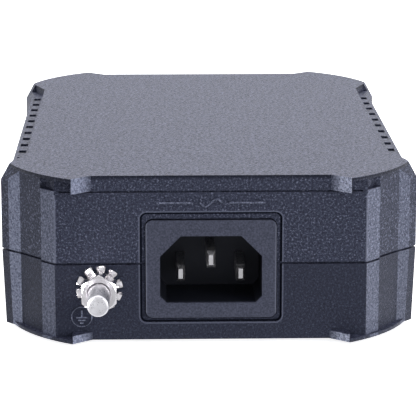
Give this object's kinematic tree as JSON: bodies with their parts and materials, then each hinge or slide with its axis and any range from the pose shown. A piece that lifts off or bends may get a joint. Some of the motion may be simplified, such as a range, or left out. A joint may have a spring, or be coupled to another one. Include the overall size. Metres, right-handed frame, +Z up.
{
  "type": "poe injector",
  "caption": "Desktop power-over-Ethernet injector: flat vented plastic case with a mains inlet and an earth terminal at one end and shielded network jacks at the other.",
  "frame": {"origin": "on the surface the feet stand on, under the middle of the case between its end faces", "axes": "+Z up, mains inlet and earth terminal face -Y, network jacks face +Y, +X to the right seen from the inlet end"},
  "size_m": [0.0984, 0.1601, 0.04],
  "materials": {
    "case_plastic": "charcoal ABS with a coarse spark-eroded grain",
    "inlet_plastic": "fine satin charcoal nylon",
    "zinc_steel": "bright zinc-plated steel",
    "bright_steel": "nickel-plated steel",
    "nickel_brass": "nickel-plated brass",
    "black_rubber": "soft black rubber",
    "clear_sheet": "thin insulating film",
    "earth_insulation": "green and yellow wire insulation",
    "circuit_board": "green solder mask over glass-epoxy board",
    "fuse_glass": "glass tube with plated caps",
    "blue_epoxy": "dipped blue epoxy",
    "dark_epoxy": "dipped dark green epoxy",
    "black_epoxy": "black moulded epoxy",
    "yellow_film": "yellow moulded case",
    "ferrite": "dark sintered ferrite",
    "copper_wire": "enamelled copper wire",
    "capacitor_sleeve": "dark shrink sleeve with a scored aluminium top",
    "aluminium": "plain aluminium",
    "winding_tape": "yellow polyester tape over the winding",
    "jack_plastic": "black glass-filled plastic",
    "jack_shield_metal": "tinned sheet metal",
    "gold_contacts": "gold-plated contact springs",
    "light_body": "small indicator body",
    "clear_light_pipe": "clear moulded light pipe"
  },
  "bodies": {
    "case": {"board_screws": "zinc_steel", "bottom_case": "case_plastic", "bridge_rectifier": "black_epoxy", "bulk_capacitor": "capacitor_sleeve", "case_screws": "zinc_steel", "choke_core": "ferrite", "choke_winding": "copper_wire", "data_jack_contacts": "gold_contacts", "data_jack_housing": "jack_plastic", "data_jack_shield": "jack_shield_metal", "data_magnetics": "black_epoxy", "earth_ring_lug": "nickel_brass", "earth_wire": "earth_insulation", "fuse": "fuse_glass", "ground_stud": "zinc_steel", "inlet_earth_pin": "nickel_brass", "inlet_housing": "inlet_plastic", "inlet_line_pin": "nickel_brass", "inlet_neutral_pin": "nickel_brass", "inrush_thermistor": "dark_epoxy", "insulating_sheet": "clear_sheet", "light_pipes": "clear_light_pipe", "main_board": "circuit_board", "optocoupler": "black_epoxy", "output_capacitors": "capacitor_sleeve", "output_inductor": "ferrite", "output_rectifier": "black_epoxy", "package_screws": "zinc_steel", "poe_controller": "black_epoxy", "power_jack_contacts": "gold_contacts", "power_jack_housing": "jack_plastic", "power_jack_shield": "jack_shield_metal", "power_magnetics": "black_epoxy", "primary_heat_sink": "aluminium", "rubber_feet": "black_rubber", "secondary_heat_sink": "aluminium", "status_lights": "light_body", "switching_transistor": "black_epoxy", "top_cover": "case_plastic", "transformer_bobbin": "black_epoxy", "transformer_core": "ferrite", "transformer_winding": "winding_tape", "varistor": "blue_epoxy", "x_capacitor": "yellow_film", "y_capacitor": "blue_epoxy"},
    "washer": {"tooth_lock_washer": "bright_steel"},
    "nut": {"ground_nut": "bright_steel"}
  },
  "joints": [
    {"name": "washer_travel", "type": "slide", "parent": "case", "child": "washer", "axis": [0, -1, 0], "range_m": [0, 0.0096]},
    {"name": "nut_turn", "type": "hinge", "parent": "washer", "child": "nut", "pos_m": [-0.0258, -0.07395, 0.0135], "axis": [0, -1, 0], "range_deg": [0, 4321]}
  ],
  "couplings": [
    {"joint": "nut_turn", "follows": "washer_travel", "rad_per_m": 7854}
  ]
}
